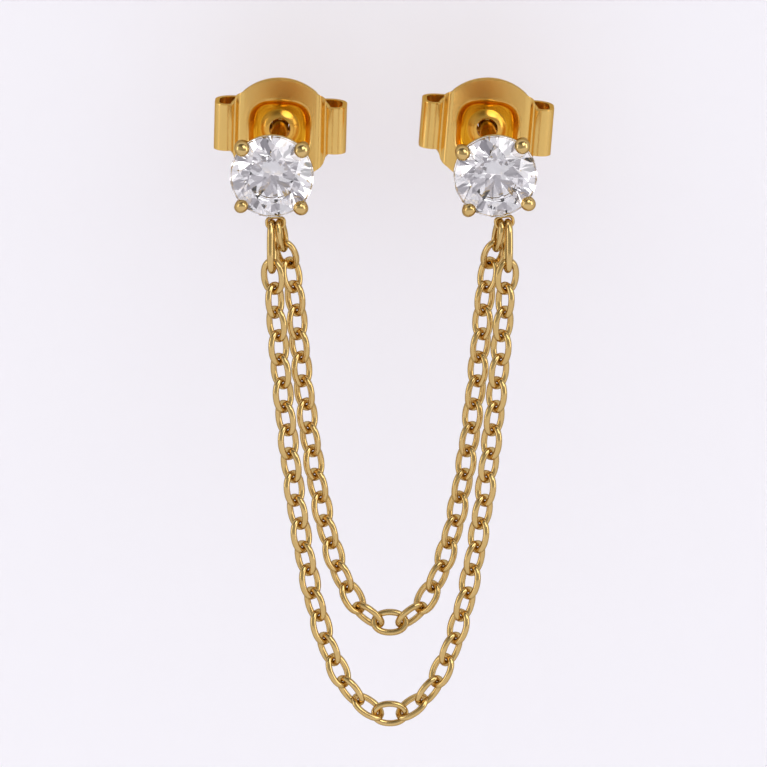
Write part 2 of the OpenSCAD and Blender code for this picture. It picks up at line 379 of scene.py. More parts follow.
@dataclass(frozen=True)
class GoldFinish:
    """Yellow gold plating: two tones, polish and relief, a painted shade that darkens
    toward grazing angles, and a painted shade where the dish is pressed in."""

    name: str
    tone_a: tuple[float, float, float]
    tone_b: tuple[float, float, float]
    rough_low: float
    rough_high: float
    cloud_scale: float = 350.0
    grain_scale: float = 5000.0
    relief: float = 0.06
    relief_height: float = 3e-5
    # Painted shade toward grazing angles: facing weights where it starts and ends, and the darkest
    # factor
    shade_from: float = 0.15
    shade_to: float = 0.75
    edge_shade: float = 0.6
    edge_tint: tuple[float, float, float] = (0.78, 0.58, 0.30)
    # Colour of the painted shade in the pressed dish, where the recess lies in shade
    recess_shade_tone: tuple[float, float, float] = (0.88, 0.41, 0.02)

    def make(self) -> bpy.types.Material:
        """Builds the material once.

        Returns:
            The material.
        """
        if self.name in bpy.data.materials:
            return bpy.data.materials[self.name]
        material, wiring, shader = new_material(self.name)
        shader.inputs["Metallic"].default_value = 1.0
        shader.inputs["Specular Tint"].default_value = (*self.edge_tint, 1.0)
        place = wiring.add("ShaderNodeTexCoord")
        marks = wiring.add("ShaderNodeGroup", node_tree=polish_group())
        for name, value in (
            ("Cloud Scale", self.cloud_scale),
            ("Grain Scale", self.grain_scale),
            ("Tone A", (*self.tone_a, 1.0)),
            ("Tone B", (*self.tone_b, 1.0)),
            ("Rough Low", self.rough_low),
            ("Rough High", self.rough_high),
        ):
            marks.inputs[name].default_value = value
        bump = wiring.add(
            "ShaderNodeBump", {"Strength": self.relief, "Distance": self.relief_height}
        )
        # Painted shade: the colour in the dish's recess is mixed toward a dark amber by its weight
        recess_shade_weight = wiring.add("ShaderNodeAttribute", attribute_name=RECESS_SHADE_ATTRIBUTE)
        pressed = wiring.add("ShaderNodeMix", {"B": (*self.recess_shade_tone, 1.0)}, data_type="RGBA")
        # Painted shade: the colour darkens toward grazing angles, which gives the wires dark
        # outlines
        facing = wiring.add("ShaderNodeLayerWeight", {"Blend": 0.5})
        grazing = wiring.add(
            "ShaderNodeMapRange",
            span_of(self.shade_from, self.shade_to, 1.0, self.edge_shade),
            interpolation_type="SMOOTHSTEP",
        )
        shade = wiring.add("ShaderNodeVectorMath", operation="SCALE")
        wiring.link(
            (place, "Object", marks, "Vector"), (recess_shade_weight, "Fac", pressed, "Factor"),
            (marks, "Color", pressed, "A"), (facing, "Facing", grazing, "Value"),
            (pressed, "Result", shade, 0), (grazing, "Result", shade, "Scale"),
            (shade, "Vector", shader, "Base Color"), (marks, "Roughness", shader, "Roughness"),
            (marks, "Height", bump, "Height"), (bump, "Normal", shader, "Normal"),
        )
        return material


@dataclass(frozen=True)
class StoneFinish:
    """Clear, colourless cut stone with a high refraction."""

    name: str = "clear stone"
    tint: tuple[float, float, float] = (0.985, 0.985, 1.0)
    refraction: float = 2.15
    haze_scale: float = 600.0

    def make(self) -> bpy.types.Material:
        """Builds the material once.

        Returns:
            The material.
        """
        if self.name in bpy.data.materials:
            return bpy.data.materials[self.name]
        material, wiring, shader = new_material(self.name)
        shader.inputs["Roughness"].default_value = 0.0
        shader.inputs["IOR"].default_value = self.refraction
        shader.inputs["Transmission Weight"].default_value = 1.0
        place = wiring.add("ShaderNodeTexCoord")
        haze = wiring.add("ShaderNodeTexNoise", {"Scale": self.haze_scale})
        mix = wiring.add("ShaderNodeMix", {"B": (1.0, 1.0, 1.0, 1.0)}, data_type="RGBA")
        mix.inputs["A"].default_value = (*self.tint, 1.0)
        wiring.link(
            (place, "Object", haze, "Vector"), (haze, "Fac", mix, "Factor"),
            (mix, "Result", shader, "Base Color"),
        )
        return material


POLISHED = GoldFinish("polished gold", (0.79, 0.545, 0.20), (0.85, 0.60, 0.245), 0.11, 0.19)
SATIN = GoldFinish(
    "satin gold", (0.92, 0.595, 0.17), (0.95, 0.64, 0.21), 0.20, 0.26,
    grain_scale=14000.0, relief=0.05, edge_shade=0.95,
)
CLEAR = StoneFinish()


def dress(
    piece: bpy.types.Object, material: bpy.types.Material, slot: str, body: Body, *nodes: str
) -> None:
    """Gives a piece its material and its place in the frame.

    Args:
        piece: the finished piece.
        material: its material.
        slot: name of the material slot in the record, not used.
        body: body it rides on.
        nodes: frame nodes that it stands for.
    """
    piece.data.materials.append(material)
    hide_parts(*nodes)
    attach(piece, body.value)
    faces = sum(len(p.vertices) - 2 for p in piece.data.polygons)
    LOG.info("%s: %d triangles before modifiers, rides on %s", piece.name, faces, body.value)


# ---------------------------------------------------------------- the earring


@dataclass(frozen=True)
class Layout:
    """Where the two studs stand and how they are turned."""

    post_spacing: float = 10.5
    post_splay: float = 1.9
    left_turn: float = -1.0
    right_turn: float = 6.0
    left_back_turn: float = 1.5
    right_back_turn: float = 4.5
    back_drop: float = 0.1
    grip: float = 6.75
    rail_z: float = 2.05
    loop_drop: float = 2.36
    loop_turn: float = 5.0
    ring_gap: float = 0.12
    inner_offset: float = 0.18

    def foot(self, side: Side) -> np.ndarray:
        """Point where a post passes the front of the lobe."""
        return np.array([0.0 if side is Side.LEFT else self.post_spacing, 0.0, 0.0])

    def post_turn(self, side: Side) -> np.ndarray:
        """Matrix that leans the post of a side inward."""
        return turn_about_z(side.value * self.post_splay)

    def stud_turn(self, side: Side) -> np.ndarray:
        """Matrix from a setting's own frame, stone facing +Z and up +Y, to the
        frame of the model."""
        face = np.array([[1.0, 0.0, 0.0], [0.0, 0.0, -1.0], [0.0, 1.0, 0.0]])
        own = self.left_turn if side is Side.LEFT else self.right_turn
        return self.post_turn(side) @ turn_about_y(-own) @ face

    def loop_place(self) -> np.ndarray:
        """Middle of the hole of the loop in a setting's own frame."""
        return turn_about_z(self.loop_turn) @ np.array([0.0, -self.loop_drop, self.rail_z])

    def loop_point(self, side: Side) -> np.ndarray:
        """Middle of the hole of the loop under a setting."""
        return self.foot(side) + self.stud_turn(side) @ self.loop_place()

    def back_place(self, side: Side) -> tuple[np.ndarray, np.ndarray]:
        """Turn and shift of a butterfly back, which hangs a little below the
        axis of its post and is turned clockwise about it."""
        own = self.left_back_turn if side is Side.LEFT else self.right_back_turn
        lean = self.post_turn(side)
        turn = lean @ turn_about_y(own)
        shift = lean @ np.array([0.0, self.grip, 0.0]) - turn @ (self.back_drop * UP)
        return turn, self.foot(side) + shift


# Angles between two main facets and between two half facets of a brilliant
MAIN_STEP = 45.0
HALF_STEP = MAIN_STEP / 2


@dataclass
class Stone:
    """Round brilliant cut stone. Table, star and lower are shares of its
    radius, the heights are in millimetres."""

    layout: Layout
    side: Side
    radius: float = 2.0
    table: float = 0.57
    star: float = 0.78
    crown: float = 0.62
    girdle: float = 0.12
    pavilion: float = 1.72
    lower: float = 0.22
    seat: float = 2.35
    spin: float = 11.0
    girdle_steps: int = 4

    def surfaces(self) -> Shell:
        """Facets of a brilliant: table, stars, kites, upper halves, girdle,
        lower halves and mains. The girdle points lie on the stone's cylinder
        where each half facet's plane cuts it, so its edges are scalloped.

        Returns:
            The stone in the setting's own frame.
        """
        r, shell = self.radius, Shell()
        k = np.arange(8)

        def ring(radius: float, angle: np.ndarray, z: np.ndarray | float) -> np.ndarray:
            """Points at a radius, at angles in degrees and at a height."""
            a = np.radians(angle)
            x, y = radius * np.cos(a), radius * np.sin(a)
            return np.stack([x, y, np.broadcast_to(z, a.shape)], -1)

        half = self.girdle / 2
        top = half + self.crown
        slope = self.crown / (r - self.table * r)
        inward = math.cos(math.radians(HALF_STEP))
        star_z = half + (r - self.star * r * inward) * slope
        low_z = -half - (r - self.lower * r * inward) * self.pavilion / r
        table = ring(self.table * r, MAIN_STEP * k, top)
        star = ring(self.star * r, MAIN_STEP * k + HALF_STEP, star_z)
        under = ring(self.lower * r, MAIN_STEP * k + HALF_STEP, low_z)
        culet = np.array([[0.0, 0.0, -half - self.pavilion]])

        def rim(apex: np.ndarray, z: float) -> np.ndarray:
            """Girdle points of the 16 half facets: on each facet's plane
            through its apex and two main girdle points."""
            main = HALF_STEP * np.arange(16)
            a = ring(r, main, z)
            b = np.roll(a, -1, axis=0)
            c = np.repeat(apex, 2, axis=0)
            normal = np.cross(b - a, c - a)
            t = np.linspace(0.0, HALF_STEP, self.girdle_steps, endpoint=False)
            p = ring(r, (main[:, None] + t).ravel(), z).reshape(16, -1, 3)
            lift = ((a - p.swapaxes(0, 1)) * normal).sum(-1) / normal[:, 2]
            p[..., 2] += lift.T
            return p.reshape(-1, 3)

        upper, lower = rim(star, half), rim(under, -half)
        n = self.girdle_steps
        m = 16 * n
        # first points: stars, upper girdle, lower girdle, lower halves, culet
        s, t, g, u, c = 8, 16, 16 + m, 16 + 2 * m, 24 + 2 * m
        every = np.arange(m)
        shell.add(np.vstack([table, star, upper, lower, under, culet]), np.arange(8)[None])
        first = 2 * n * k
        last = (k + 7) % 8
        pair = np.repeat(k, 2)[:, None]
        run = (np.arange(16)[:, None] * n + np.arange(n + 1)) % m
        faces = [
            np.stack([k, s + k, (k + 1) % 8], -1),
            np.stack([k, s + last, t + first, s + k], -1),
            np.stack([g + first, u + last, np.full(8, c), u + k], -1),
            np.stack([t + every, g + every, g + (every + 1) % m, t + (every + 1) % m], -1),
            np.hstack([s + pair, t + run]),
            np.hstack([u + pair, g + run]),
        ]
        shell.faces.extend(faces)
        return shell

    def build(self) -> None:
        """Makes the stone with flat facets."""
        shell = self.surfaces()
        turn = self.layout.stud_turn(self.side)
        middle = self.layout.foot(self.side) + turn @ (self.seat * UP)
        shell.place(turn @ turn_about_z(self.spin), middle)
        word = self.side.name.lower()
        piece = shell.make(f"cut_stone_{word}", smooth=False)
        dress(piece, CLEAR.make(), "stone", Body.EARRING, f"stone_{word}")


# Middle line of a prong: distance from the stone's axis, height over the lobe
PRONG_LINE = (
    (0.88, 0.16), (1.32, 0.85), (1.80, 1.62), (2.07, 2.15),
    (2.13, 2.44), (2.06, 2.67), (1.88, 2.78), (1.66, 2.81),
)


@dataclass
class Stud:
    """Four-prong setting with its rail, loop and post. Each prong swells to a
    bead of its own thickness, and the swelling starts and ends at a share of
    the prong's length."""

    layout: Layout
    side: Side
    base_radius: float = 1.1
    base_height: float = 0.32
    base_round: float = 0.08
    rail_radius: float = 1.87
    rail_wire: float = 0.25
    prong_wire: float = 0.50
    beads: tuple[float, ...] = (0.76, 0.74, 0.62, 0.70)
    first_prong: float = 45.0
    swell_from: float = 0.55
    swell_span: float = 0.2
    loop_length: float = 1.0
    loop_height: float = 0.69
    loop_wire: float = 0.16
    loop_fullness: float = 3.0
    post_width: float = 0.8
    post_length: float = 10.8

    def base(self) -> np.ndarray:
        """Turned base disc: a rounded profile swept round the post axis."""
        h, r, f = self.base_height, self.base_radius, self.base_round
        low = arc_points((r - f, f), f, -90, 90, 6)
        high = arc_points((r - f, h - f), f, 0, 90, 6)
        profile = np.vstack([[[0.0, 0.0]], low, high, [[0.0, h]]])
        return self.turned(profile, 64)

    @staticmethod
    def turned(profile: np.ndarray, count: int) -> np.ndarray:
        """Profile of (radius, height) points swept round the axis.

        Args:
            profile: shape (n, 2).
            count: steps round the axis.

        Returns:
            Grid, shape (n, count, 3).
        """
        a = np.linspace(0.0, 2 * np.pi, count, endpoint=False)
        r, z = profile[:, :1], profile[:, 1:]
        return np.stack([r * np.cos(a), r * np.sin(a), z + 0 * a], -1)

    def rail(self) -> np.ndarray:
        """Round wire that joins the prongs under the stone."""
        a = np.linspace(0.0, 2 * np.pi, 120, endpoint=False)
        flat = self.rail_radius * np.stack([np.cos(a), np.sin(a), 0 * a], -1)
        return tube_grid(
            flat + self.layout.rail_z * UP, np.full(a.size, self.rail_wire / 2), UP, 16, True
        )

    def prong(self, angle: float, bead: float) -> np.ndarray:
        """One prong: a wire from the base up past the girdle, bent over the
        crown, swelling to a bead and rounded off at its tip.

        Args:
            angle: place round the stone, in degrees.
            bead: thickness of its end.

        Returns:
            Grid of the prong.
        """
        flat = smooth_path(np.array(PRONG_LINE), 8)
        a = math.radians(angle)
        out = np.array([math.cos(a), math.sin(a), 0.0])
        path = flat[:, :1] * out + flat[:, 1:] * UP
        t = np.linspace(0.0, 1.0, len(path))
        swell = np.clip((t - self.swell_from) / self.swell_span, 0.0, 1.0)
        swell = swell * swell * (3 - 2 * swell)
        radius = self.prong_wire / 2 + (bead - self.prong_wire) / 2 * swell
        radius = rounded_end(path, radius, bead / 2)
        across = np.array([-math.sin(a), math.cos(a), 0.0])
        return tube_grid(path, radius, across, 20, False)

    def post(self) -> np.ndarray:
        """Post behind the setting, from its round tip into the base disc."""
        r, n = self.post_width / 2, self.post_length
        tip = arc_points((0.0, -(n - r)), r, -90, 90, 10)
        profile = np.vstack([tip, [[r, -0.6 * n], [r, -0.3 * n], [r, 0.1], [0.0, 0.1]]])
        return self.turned(profile, 40)

    def build(self) -> None:
        """Makes the soldered stud."""
        shell = Shell()
        shell.add_grid(self.base(), False, True)
        shell.add_grid(self.rail(), True, True)
        for k, bead in enumerate(self.beads):
            angle = self.first_prong + 360.0 / len(self.beads) * k
            shell.add_grid(self.prong(angle, bead), False, True)
        loop = oval_ring(
            self.loop_length, self.loop_height, self.loop_wire, 48, 12, self.loop_fullness
        )
        loop = loop @ turn_about_z(self.layout.loop_turn).T + self.layout.loop_place()
        shell.add_grid(loop, True, True)
        shell.add_grid(self.post(), False, True)
        shell.place(self.layout.stud_turn(self.side), self.layout.foot(self.side))
        word = self.side.name.lower()
        piece = shell.make(f"setting_and_post_{word}")
        dress(piece, POLISHED.make(), "gold", Body.EARRING, f"stud_{word}")


def oval_ring(
    length: float, width: float, wire: float, around: int, sides: int, fullness: float
) -> np.ndarray:
    """Oval wire ring in the XY plane, long axis along X. The middle line is the
    curve |x/a|^q + |y/b|^q = 1 with q the fullness, 2 for an ellipse and more
    for straighter sides.

    Args:
        length: outside length.
        width: outside width.
        wire: wire thickness.
        around: points along the middle line.
        sides: points round the wire.
        fullness: exponent q of the curve.

    Returns:
        Grid, shape (around, sides, 3).
    """
    t = np.linspace(0.0, 2 * np.pi, around, endpoint=False)
    a, b = (length - wire) / 2, (width - wire) / 2
    x, y = np.cos(t), np.sin(t)
    reach = (np.abs(x / a) ** fullness + np.abs(y / b) ** fullness) ** (-1 / fullness)
    path = np.stack([reach * x, reach * y, 0 * t], -1)
    return tube_grid(path, np.full(around, wire / 2), UP, sides, True)


@dataclass
class JumpRing:
    """Long oval ring in a loop, which carries the long chain. It leans forward
    and is turned outward, and hangs beside the middle of the loop by its offset."""

    layout: Layout
    side: Side
    length: float = 2.63
    width: float = 1.27
    wire: float = 0.33
    lean: float = 10.0
    turn: float = 10.0
    offset: float = 0.17
    fullness: float = 2.4

    def axis(self) -> np.ndarray:
        """Direction from the loop to the lower end of the ring."""
        a = math.radians(self.lean)
        return np.array([0.0, -math.sin(a), -math.cos(a)])

    def top(self) -> np.ndarray:
        """Middle of the wire where it passes the loop."""
        aside = np.array([self.side.value * self.offset, 0.0, 0.0])
        return self.layout.loop_point(self.side) + aside

    def bottom(self) -> np.ndarray:
        """Middle of the wire at the lower end."""
        return self.top() + (self.length - self.wire) * self.axis()

    def build(self) -> None:
        """Makes the ring."""
        along = self.axis()
        a = math.radians(self.turn)
        across = np.array([self.side.value * math.sin(a), -math.cos(a), 0.0])
        across = unit(across - along * (along @ across))
        basis = np.stack([along, across, np.cross(along, across)], -1)
        shell = Shell()
        ring = oval_ring(self.length, self.width, self.wire, 72, 16, self.fullness)
        shell.add_grid(ring, True, True)
        shell.place(basis, (self.top() + self.bottom()) / 2)
        word = self.side.name.lower()
        piece = shell.make(f"long_jump_ring_{word}")
        dress(piece, POLISHED.make(), "gold", Body.EARRING, f"ring_{word}")


# Largest slope from link to link, and halvings that find the right one
STEEPEST_BOW = 4.0
HALVINGS = 40


@dataclass
class Chain:
    """Cable chain that hangs between two points, link through link. Links lie
    in turn to either side of the chain's plane, the ones near its ends are
    twisted, and the lowest one faces forward."""

    name: str
    node: str
    start: np.ndarray
    end: np.ndarray
    links: int
    back: float = 0.0
    plumb: int = 0
    first_turn: float = 45.0
    twist: float = 0.0
    twist_links: int = 2
    pitch: float = 1.175
    width: float = 1.29
    wire: float = 0.31
    play: float = 0.03
    middle_turn: float = -45.0
    middle_links: float = 1.5
    fullness: float = 2.15
    plumb_angle: float = 78.0
    lead_links: int = 2
    around: int = 44
    sides: int = 12

    def headings(self, bow: float) -> np.ndarray:
        """Directions of the links. Link i from the middle drops at the angle
        atan(i * bow), the slope of a hanging chain; the outermost plumb links
        hang at one steep angle, and the lead links also swing back.

        Args:
            bow: slope gained from one link to the next.

        Returns:
            Unit vectors, shape (links, 3).
        """
        n = self.links
        i = np.arange(n) - (n - 1) / 2
        drop = np.arctan(i * bow)
        steep = np.abs(i) > (n - 1) / 2 - self.plumb
        drop = np.where(steep, np.sign(i) * math.radians(self.plumb_angle), drop)
        lean = np.zeros(n)
        swing = math.asin(self.back / self.lead_links / self.pitch)
        lean[: self.lead_links], lean[-self.lead_links :] = swing, -swing
        flat = np.cos(lean)
        return np.stack([flat * np.cos(drop), np.sin(lean), flat * np.sin(drop)], -1)

    def settle(self) -> np.ndarray:
        """Finds by halving the bow that spans the two points.

        Returns:
            Directions of the links.
        """
        low, high = 0.0, STEEPEST_BOW
        for _ in range(HALVINGS):
            bow = (low + high) / 2
            wide = self.pitch * self.headings(bow)[:, 0].sum() > self.end[0] - self.start[0]
            low, high = (bow, high) if wide else (low, bow)
        return self.headings((low + high) / 2)

    def build(self) -> None:
        """Makes all links as one piece: each is the same oval ring, turned by
        its own three axes and set at the middle of its step.
        """
        along = self.settle()
        steps = self.pitch * along
        level = (self.end - self.start) / 2 * np.array([0.0, 1.0, 1.0])
        marks = self.start + level + np.vstack([np.zeros(3), np.cumsum(steps, axis=0)[:-1]])
        face = unit(np.array([0.0, -1.0, 0.0]) + along[:, 1:2] * along)
        flat = np.cross(face, along)
        j = np.arange(self.links)
        near = np.minimum(j, self.links - 1 - j)
        off = np.abs(j - (self.links - 1) / 2)
        turn = np.where(j % 2 == 0, self.first_turn, -self.first_turn)
        turn = turn + self.twist * np.clip(1 - near / self.twist_links, 0, None)
        turn = turn + self.middle_turn * np.clip(1 - off / self.middle_links, 0, None)
        a = np.radians(turn)[:, None]
        across = np.cos(a) * flat + np.sin(a) * face
        basis = np.stack([along, across, np.cross(along, across)], -1)
        length = self.pitch + 2 * self.wire + self.play
        link = oval_ring(length, self.width, self.wire, self.around, self.sides, self.fullness)
        grid = np.einsum("nij,abj->nabi", basis, link) + (marks + steps / 2)[:, None, None]
        shell = Shell()
        quads = grid_quads(self.around, self.sides, True, True)
        count = self.around * self.sides
        shell.add(grid, (quads[None] + count * j[:, None, None]).reshape(-1, 4))
        piece = shell.make(self.name)
        dress(piece, POLISHED.make(), "gold", Body.EARRING, self.node)


@dataclass
class ButterflyBack:
    """Ear back stamped from one strip: a disc with a pressed dish, whose two
    arms bend back, roll outward and curl in against the post."""

    layout: Layout
    side: Side
    disc_radius: float = 2.62
    sheet: float = 0.22
    width: float = 6.4
    arm: float = 2.3
    depth: float = 2.2
    hole: float = 0.50
    hole_rise: float = 0.05
    post_gap: float = 0.42
    bend_radius: float = 0.2
    bend_angle: float = 62.0
    valley_angle: float = 36.0
    front_radius: float = 0.48
    front_set: float = 0.26
    rear_radius: float = 0.7
    curl_radius: float = 0.55
    curl_sweep: float = 135.0
    dish: float = 1.63
    dish_fullness: float = 3.0
    dish_depth: float = 0.45
    wall_angle: float = 55.0
    wall_radius: float = 0.45
    lip_radius: float = 0.08
    collar: float = 0.50
    collar_rise: float = 0.22
    groove: float = 0.22
    groove_fade: float = 0.3
    collar_fade: float = 0.2
    # Painted shade in the dish: how fast it sets in down the wall, and its weight at the hole
    recess_shade_gain: float = 1.4
    recess_shade_at_hole: float = 0.45
    soft_edge: float = 0.085
    edge_angle: float = 50.0
    columns: int = 33

    def arm_line(self) -> np.ndarray:
        """Middle of the sheet of the right arm seen from above: a bend back, a
        bend up out of the valley, a roll with a tighter front than rear, a
        straight run inward and the curl against the post.

        Returns:
            Points (x, depth) from the edge of the flat part to the end of the curl.
        """
        r, f, half = self.bend_radius, self.front_radius, self.sheet / 2
        slope, climb = math.radians(self.bend_angle), math.radians(self.valley_angle)
        out = (self.width - self.sheet) / 2
        centre = np.array([out - f, half + self.front_set + f])
        front = arc_points(tuple(centre), f, -90 - self.valley_angle, 90 + self.valley_angle, 31)
        dip = front[0] - r * np.array([math.sin(climb), math.cos(climb)])
        sweep = -self.bend_angle - self.valley_angle
        valley = arc_points(tuple(dip), r, 90 + self.bend_angle, sweep, 14)
        drop = valley[0, 1] - half - r * (1 - math.cos(slope))
        flat_x = valley[0, 0] - drop / math.tan(slope) - r * math.sin(slope)
        first = arc_points((flat_x, half + r), r, -90, self.bend_angle, 9)
        rear_y = self.depth - half - self.rear_radius
        rear = arc_points((out - self.rear_radius, rear_y), self.rear_radius, 0, 90, 24)
        curl_x = self.post_gap + half + self.curl_radius
        curl_y = self.depth - half - self.curl_radius
        curl = arc_points((curl_x, curl_y), self.curl_radius, 90, self.curl_sweep, 24)
        run = np.linspace(rear[-1], curl[0], 6)[1:-1]
        return np.vstack([first, valley, front[1:], rear, run, curl])

    def arm_strip(self) -> np.ndarray:
        """Right arm: the line carried up and down over the half height, which
        follows the disc's circle until that is lower than the arm. Above and
        below the post the curl reaches further in, by g - sqrt(g^2 - z^2) with
        g the gap at the post, up to the depth of the groove.

        Returns:
            Grid, shape (steps, columns, 3).
        """
        line = self.arm_line()
        circle = np.sqrt(np.clip(self.disc_radius**2 - line[:, 0] ** 2, 0.0, None))
        start = np.argmax(circle < self.arm / 2)
        half = np.where(np.arange(len(line)) < start, circle, self.arm / 2)
        grid = np.empty((len(line), self.columns, 3))
        grid[..., 0], grid[..., 1] = line[:, :1], line[:, 1:]
        grid[..., 2] = half[:, None] * np.linspace(-1.0, 1.0, self.columns)
        reach = self.post_gap - np.sqrt(np.clip(self.post_gap**2 - grid[..., 2] ** 2, 0.0, None))
        off = line[:, 0] - self.post_gap - self.sheet / 2
        near = np.clip(1 - off / self.groove_fade, 0.0, 1.0)
        grid[..., 0] -= np.minimum(reach, self.groove) * (near * near * (3 - 2 * near))[:, None]
        return grid

    def wall(self) -> np.ndarray:
        """Side of the dish in section: a wide arc up from the floor, a steep
        straight and a small arc over the rim.

        Returns:
            Points (distance inward of the rim's edge, below 0, and height).
        """
        r, e, depth = self.wall_radius, self.lip_radius, self.dish_depth
        a = math.radians(self.wall_angle)
        low = arc_points((0.0, r), r, -90, self.wall_angle, 14)
        reach = (r + e) * math.sin(a) + (depth - (r + e) * (1 - math.cos(a))) / math.tan(a)
        high = arc_points((reach, depth - e), e, 90 + self.wall_angle, -self.wall_angle, 6)
        return np.vstack([low, high]) - np.array([reach, 0.0])

    def plate(self, flat_x: float) -> tuple[np.ndarray, np.ndarray]:
        """Flat part of the disc as rays from the hole to the outline: collar,
        floor of the dish, its side and the rim. The dish is the rounded square
        |x/d|^q + |z/d|^q = 1; the outline is the disc's circle, cut upright
        where the arms begin. Toward the hole each ray is shifted up to meet
        the hole's own middle.

        Args:
            flat_x: half width of the flat part.

        Returns:
            Grid of rays and steps, shape (rays, steps, 3), and the weight of the
            painted shade in the dish at each point, from 0 to 1.
        """
        r, x, q = self.disc_radius, flat_x, self.dish_fullness
        corner = math.degrees(math.acos(x / r))
        top = arc_points((0.0, 0.0), r, corner, 180 - 2 * corner, 45)
        z = math.sqrt(r * r - x * x) * np.linspace(1.0, -1.0, self.columns)[1:-1]
        left = np.stack([np.full(z.size, -x), z], -1)
        outline = np.vstack([top, left, -top, -left])
        reach = np.linalg.norm(outline, axis=1, keepdims=True)
        way = outline / reach
        edge = self.dish * (np.abs(way) ** q).sum(1, keepdims=True) ** (-1 / q)
        wall = self.wall()
        brim = self.hole + self.collar
        t = np.linspace(0.0, 1.0, 14)
        collar = self.hole + self.collar * t
        side = edge + wall[:, 0]
        floor = brim + (side[:, :1] - brim) * np.linspace(0.0, 1.0, 6)[1:-1]
        rim = edge + (reach - edge) * np.linspace(0.0, 1.0, 9)[1:]
        rays = reach.shape[0]
        radii = np.hstack([np.broadcast_to(collar, (rays, collar.size)), floor, side, rim])
        rise = self.collar_rise * 0.5 * (1 + np.cos(np.pi * t))
        flat = np.full(rim.shape[1], self.dish_depth)
        lift = np.concatenate([rise, np.zeros(floor.shape[1]), wall[:, 1], flat])
        grid = np.empty((rays, radii.shape[1], 3))
        grid[..., 0], grid[..., 2] = radii * way[:, :1], radii * way[:, 1:]
        fade = brim + self.collar_fade
        grid[..., 2] += self.hole_rise * np.clip((fade - radii) / (fade - self.hole), 0.0, 1.0)
        grid[..., 1] = self.sheet / 2 + self.dish_depth - lift
        # Weight of the painted shade: full on the dish's floor, fading up the wall to the rim and
        # over the collar toward the hole
        recess_shade_weight = np.clip(self.recess_shade_gain * (1 - lift / self.dish_depth), 0.0, 1.0)
        recess_shade_weight[: collar.size] = self.recess_shade_at_hole + (1 - self.recess_shade_at_hole) * t
        return grid, np.broadcast_to(recess_shade_weight, radii.shape)

    def build(self) -> None:
        """Makes the back, thickens the sheet and softens its edges."""
        strip = self.arm_strip()
        plate, recess_shade_weight = self.plate(strip[0, 0, 0])
        shell = Shell()
        shell.add_grid(plate, True, False)
        shell.add_grid(strip, False, False)
        shell.add_grid(strip * np.array([-1.0, 1.0, 1.0]), False, False)
        shell.place(*self.layout.back_place(self.side))
        word = self.side.name.lower()
        piece = shell.make(f"butterfly_back_{word}", values=recess_shade_weight.ravel())
        wall = piece.modifiers.new("sheet", "SOLIDIFY")
        wall.thickness, wall.offset, wall.use_even_offset = self.sheet * MM, 0.0, True
        edge = piece.modifiers.new("soft edge", "BEVEL")
        edge.width, edge.segments, edge.limit_method = self.soft_edge * MM, 3, "ANGLE"
        edge.angle_limit = math.radians(self.edge_angle)
        body = Body.LEFT_BACK if self.side is Side.LEFT else Body.RIGHT_BACK
        dress(piece, SATIN.make(), "gold", body, f"back_{word}")


# ---------------------------------------------------------------- the studio

# Light that the eye and matt surfaces get from the surroundings
PALE = (0.895, 0.885, 0.92)
MATT_FILL = (1.07, 1.06, 1.085)
# Tones of the paper, and the one that mirrors show
PAPER_TONES = ((0.885, 0.875, 0.905), (0.905, 0.895, 0.920))
MIRRORED_PAPER = (0.66, 0.65, 0.67)
# Rooms that metal and stones show: place from 0 away from the camera to 1
# toward it, and brightness there
METAL_ROOM = (
    (0.0, (0.62, 0.61, 0.63)), (0.50, (0.56, 0.55, 0.57)), (0.75, (0.50, 0.49, 0.51)),
    (0.86, (0.45, 0.445, 0.455)), (0.95, (0.40, 0.395, 0.40)), (1.0, (0.34, 0.34, 0.345)),
)
STONE_ROOM = (
    (0.0, (1.22, 1.17, 1.22)), (0.50, (1.20, 1.15, 1.20)), (0.88, (1.14, 1.09, 1.14)),
    (0.95, (0.84, 0.80, 0.85)), (0.98, (0.40, 0.375, 0.41)), (1.0, (0.32, 0.30, 0.34)),
)


